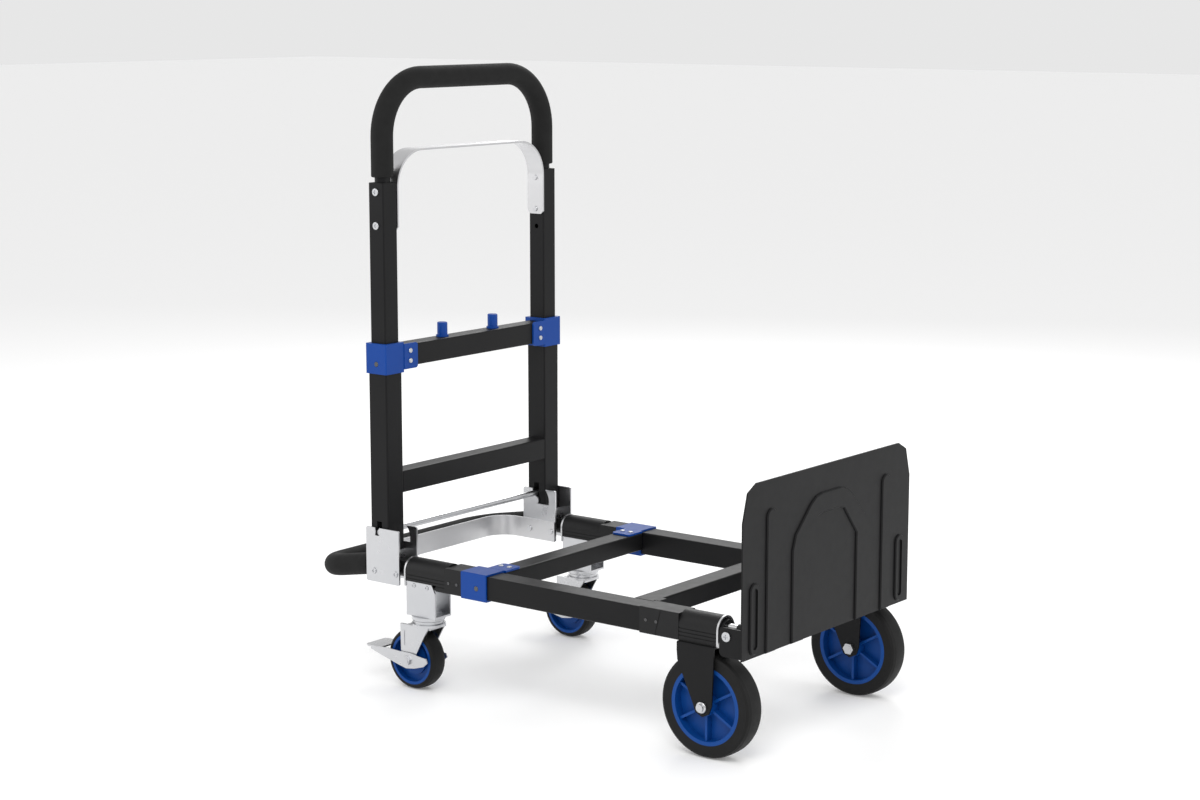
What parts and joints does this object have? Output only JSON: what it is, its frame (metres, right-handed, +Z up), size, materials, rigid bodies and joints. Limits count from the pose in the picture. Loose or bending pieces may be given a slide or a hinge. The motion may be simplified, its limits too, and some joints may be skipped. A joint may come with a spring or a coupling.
{
  "type": "folding platform cart",
  "caption": "Folding platform cart with extending bed, folding telescoping handle frame, folding toe plate and braked swivel casters.",
  "frame": {"origin": "on the floor under the middle of the cart's bounding box", "axes": "+X from the upright towards the toe plate, +Y to the left of a person who pushes towards +X, +Z up"},
  "size_m": [0.891, 0.472, 0.999],
  "materials": {
    "black_paint": "satin",
    "blue_plastic": "gloss",
    "zinc": "bright",
    "chrome": "bright",
    "satin_steel": "satin",
    "black_plastic": "matt",
    "dark_steel": "satin",
    "foam": "matt",
    "rubber_tyre": "matt",
    "blue_wheel": "gloss"
  },
  "bodies": {
    "bed_front": {"bed_rails": "black_paint", "front_cross_beam": "black_paint", "rear_cross_beam": "black_paint", "rail_clamps": "blue_plastic", "rail_clamp_rivets": "zinc", "front_sleeves": "black_plastic", "front_sleeve_screws": "dark_steel", "front_end_extrusions": "black_plastic", "front_end_rings": "satin_steel", "front_end_plugs": "black_plastic", "toe_guide_pins": "chrome", "toe_stop_knobs": "black_plastic", "toe_pivot_screws": "zinc", "front_forks": "black_paint", "front_axles": "zinc"},
    "bed_rear": {"bed_inner_tubes": "satin_steel", "rear_sleeves": "black_plastic", "rear_sleeve_screws": "dark_steel", "rear_end_extrusions": "black_plastic", "rear_end_rings": "satin_steel", "rear_end_plugs": "black_plastic", "upright_brackets": "zinc", "bracket_bolts": "zinc", "pivot_pins": "zinc", "rear_strap": "satin_steel", "rear_handle_tube": "black_paint", "rear_handle_grip": "foam", "caster_brackets": "zinc", "caster_bracket_screws": "zinc"},
    "upright": {"upright_lower_tubes": "black_paint", "upright_lower_beam": "black_paint", "upright_middle_beam": "black_paint", "upright_clamps": "blue_plastic", "upright_clamp_rivets": "zinc", "hook_pegs": "blue_plastic"},
    "handle": {"upright_upper_tubes": "black_paint", "top_strap": "satin_steel", "handle_tube": "black_paint", "handle_grip": "foam", "handle_screws": "zinc"},
    "latch_bar": {"latch_bar": "zinc"},
    "toe_plate": {"toe_plate": "black_paint"},
    "front_wheel_left": {"front_tyre_left": "rubber_tyre", "front_rim_left": "blue_wheel"},
    "caster_left": {"caster_head_left": "zinc", "caster_fork_left": "zinc"},
    "caster_wheel_left": {"caster_tyre_left": "rubber_tyre", "caster_rim_left": "blue_wheel"},
    "brake_pedal_left": {"brake_pedal_left": "zinc"},
    "bed_button_left": {"bed_button_left": "dark_steel"},
    "upright_button_left": {"upright_button_left": "dark_steel"},
    "front_wheel_right": {"front_tyre_right": "rubber_tyre", "front_rim_right": "blue_wheel"},
    "caster_right": {"caster_head_right": "zinc", "caster_fork_right": "zinc"},
    "caster_wheel_right": {"caster_tyre_right": "rubber_tyre", "caster_rim_right": "blue_wheel"},
    "brake_pedal_right": {"brake_pedal_right": "zinc"},
    "bed_button_right": {"bed_button_right": "dark_steel"},
    "upright_button_right": {"upright_button_right": "dark_steel"}
  },
  "joints": [
    {"name": "bed_extension", "type": "slide", "parent": "bed_front", "child": "bed_rear", "axis": [-1, 0, 0], "range_m": [0, 0.2]},
    {"name": "upright_fold", "type": "hinge", "parent": "bed_rear", "child": "upright", "pos_m": [-0.2815, 0, 0.239], "axis": [0, 1, 0], "range_deg": [0, 90]},
    {"name": "handle_slide", "type": "slide", "parent": "upright", "child": "handle", "axis": [0, 0, 1], "range_m": [-0.17, 0]},
    {"name": "latch_lift", "type": "slide", "parent": "upright", "child": "latch_bar", "axis": [0, 0, 1], "range_m": [0, 0.012], "stiffness_N_per_m": 900, "springref_m": -0.006},
    {"name": "toe_fold", "type": "hinge", "parent": "bed_front", "child": "toe_plate", "pos_m": [0.4065, 0, 0.193], "axis": [0, 1, 0], "range_deg": [-90, 0]},
    {"name": "front_wheel_spin_left", "type": "hinge", "parent": "bed_front", "child": "front_wheel_left", "pos_m": [0.3655, 0.204, 0.08], "axis": [0, 1, 0], "continuous": true},
    {"name": "caster_swivel_left", "type": "hinge", "parent": "bed_rear", "child": "caster_left", "pos_m": [-0.1935, 0.202, 0.115], "axis": [0, 0, 1], "continuous": true},
    {"name": "caster_wheel_spin_left", "type": "hinge", "parent": "caster_left", "child": "caster_wheel_left", "pos_m": [-0.2195, 0.202, 0.05], "axis": [0, 1, 0], "continuous": true},
    {"name": "brake_press_left", "type": "hinge", "parent": "caster_left", "child": "brake_pedal_left", "pos_m": [-0.2195, 0.202, 0.05], "axis": [0, 1, 0], "range_deg": [-12, 0]},
    {"name": "bed_button_press_left", "type": "slide", "parent": "bed_front", "child": "bed_button_left", "axis": [0, 1, 0], "range_m": [-0.003, 0], "stiffness_N_per_m": 900, "springref_m": 0.003},
    {"name": "upright_button_press_left", "type": "slide", "parent": "upright", "child": "upright_button_left", "axis": [0, 1, 0], "range_m": [-0.003, 0], "stiffness_N_per_m": 900, "springref_m": 0.003},
    {"name": "front_wheel_spin_right", "type": "hinge", "parent": "bed_front", "child": "front_wheel_right", "pos_m": [0.3655, -0.204, 0.08], "axis": [0, 1, 0], "continuous": true},
    {"name": "caster_swivel_right", "type": "hinge", "parent": "bed_rear", "child": "caster_right", "pos_m": [-0.1935, -0.202, 0.115], "axis": [0, 0, 1], "continuous": true},
    {"name": "caster_wheel_spin_right", "type": "hinge", "parent": "caster_right", "child": "caster_wheel_right", "pos_m": [-0.2195, -0.202, 0.05], "axis": [0, 1, 0], "continuous": true},
    {"name": "brake_press_right", "type": "hinge", "parent": "caster_right", "child": "brake_pedal_right", "pos_m": [-0.2195, -0.202, 0.05], "axis": [0, 1, 0], "range_deg": [-12, 0]},
    {"name": "bed_button_press_right", "type": "slide", "parent": "bed_front", "child": "bed_button_right", "axis": [0, -1, 0], "range_m": [-0.003, 0], "stiffness_N_per_m": 900, "springref_m": 0.003},
    {"name": "upright_button_press_right", "type": "slide", "parent": "upright", "child": "upright_button_right", "axis": [0, -1, 0], "range_m": [-0.003, 0], "stiffness_N_per_m": 900, "springref_m": 0.003}
  ],
  "couplings": [
    {"joint": "handle_slide", "follows": "upright_fold", "m_per_rad": -0.10822}
  ]
}
